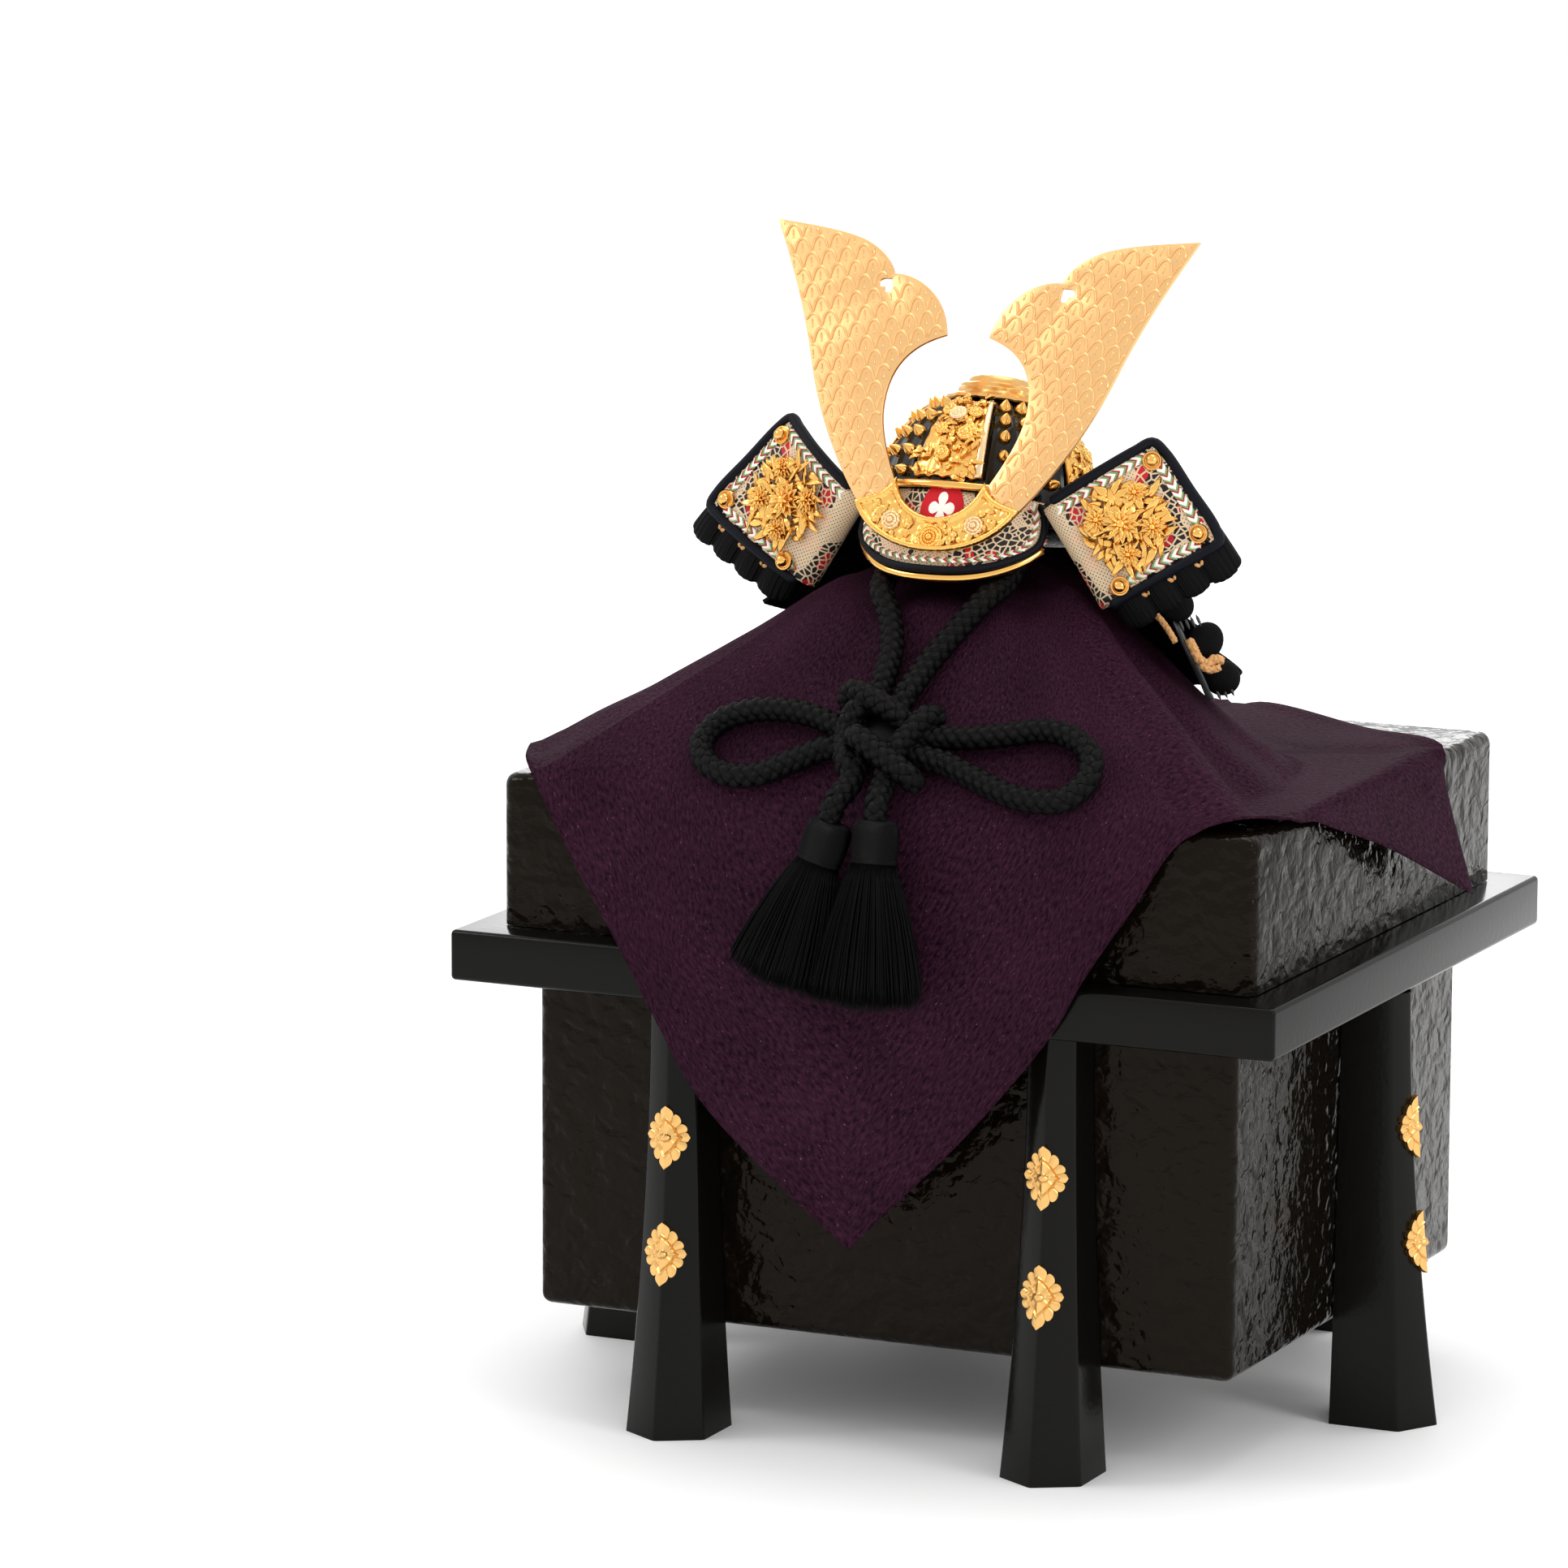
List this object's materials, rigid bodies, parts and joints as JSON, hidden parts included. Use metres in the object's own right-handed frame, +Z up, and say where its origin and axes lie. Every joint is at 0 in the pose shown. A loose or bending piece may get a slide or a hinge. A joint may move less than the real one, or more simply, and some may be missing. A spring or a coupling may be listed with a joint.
{
  "type": "ornamental samurai helmet on a display chest",
  "caption": "Small display samurai helmet with tall gilt horns and a ribbed black bowl, on a purple cloth over a six-legged black lacquered chest, with a tied cord and tassels.",
  "frame": {"origin": "on the floor, under the middle of the chest", "axes": "+Z up, -Y the way the helmet faces, +X toward the wearer's left, the right side of the picture"},
  "size_m": [0.2248, 0.1967, 0.2785],
  "materials": {
    "chest_lacquer": "gloss black lacquer over an embossed wrinkled texture",
    "frame_lacquer": "smooth semi-gloss black lacquer",
    "bowl_lacquer": "gloss black lacquer on metal, with raised ribs",
    "fitting_gilt": "polished gold plate",
    "relief_gilt": "cast gold plate in high relief",
    "horn_gilt": "satin gold plate embossed with pointed scales, bright edge",
    "crown_gilt": "satin gold plate",
    "printed_leather": "cream leather printed with black dots and red patches",
    "laced_silk": "black silk lacing over lacquered lames",
    "cord_silk": "black silk round braid",
    "tassel_silk": "black silk thread",
    "crepe": "plum purple crepe with a fine grain",
    "post_wood": "plain planed wood"
  },
  "bodies": {
    "root": {"chest_body": "chest_lacquer", "chest_lid": "chest_lacquer", "chest_rim": "frame_lacquer", "leg_front_left": "frame_lacquer", "fitting_front_left_low": "fitting_gilt", "fitting_front_left_high": "fitting_gilt", "leg_front_right": "frame_lacquer", "fitting_front_right_low": "fitting_gilt", "fitting_front_right_high": "fitting_gilt", "leg_back_left": "frame_lacquer", "fitting_back_left_low": "fitting_gilt", "fitting_back_left_high": "fitting_gilt", "leg_back_right": "frame_lacquer", "fitting_back_right_low": "fitting_gilt", "fitting_back_right_high": "fitting_gilt", "leg_side_left": "frame_lacquer", "fitting_side_left_low": "fitting_gilt", "fitting_side_left_high": "fitting_gilt", "leg_side_right": "frame_lacquer", "fitting_side_right_low": "fitting_gilt", "fitting_side_right_high": "fitting_gilt", "stand_post": "post_wood", "display_cloth": "crepe", "bowl": "bowl_lacquer", "bowl_plate_front": "relief_gilt", "bowl_plate_right": "relief_gilt", "bowl_plate_back": "relief_gilt", "bowl_plate_left": "relief_gilt", "crown_fitting": "crown_gilt", "visor": "printed_leather", "visor_rim": "fitting_gilt", "brow_bar": "fitting_gilt", "horn_right": "horn_gilt", "horn_left": "horn_gilt", "horn_base": "relief_gilt", "turnback_right": "printed_leather", "turnback_lame_right": "laced_silk", "peony_right": "relief_gilt", "turnback_stud_top_right": "fitting_gilt", "turnback_stud_low_right": "fitting_gilt", "turnback_stud_inner_right": "fitting_gilt", "turnback_left": "printed_leather", "turnback_lame_left": "laced_silk", "peony_left": "relief_gilt", "turnback_stud_top_left": "fitting_gilt", "turnback_stud_low_left": "fitting_gilt", "turnback_stud_inner_left": "fitting_gilt", "neck_lame_1": "laced_silk", "neck_lame_2": "laced_silk", "neck_lame_3": "laced_silk", "neck_lame_4": "laced_silk", "neck_lame_5": "laced_silk", "chin_cord": "cord_silk", "bow_left": "cord_silk", "bow_right": "cord_silk", "cord_knot": "cord_silk", "tassel_left": "tassel_silk", "tassel_right": "tassel_silk"}
  },
  "joints": []
}
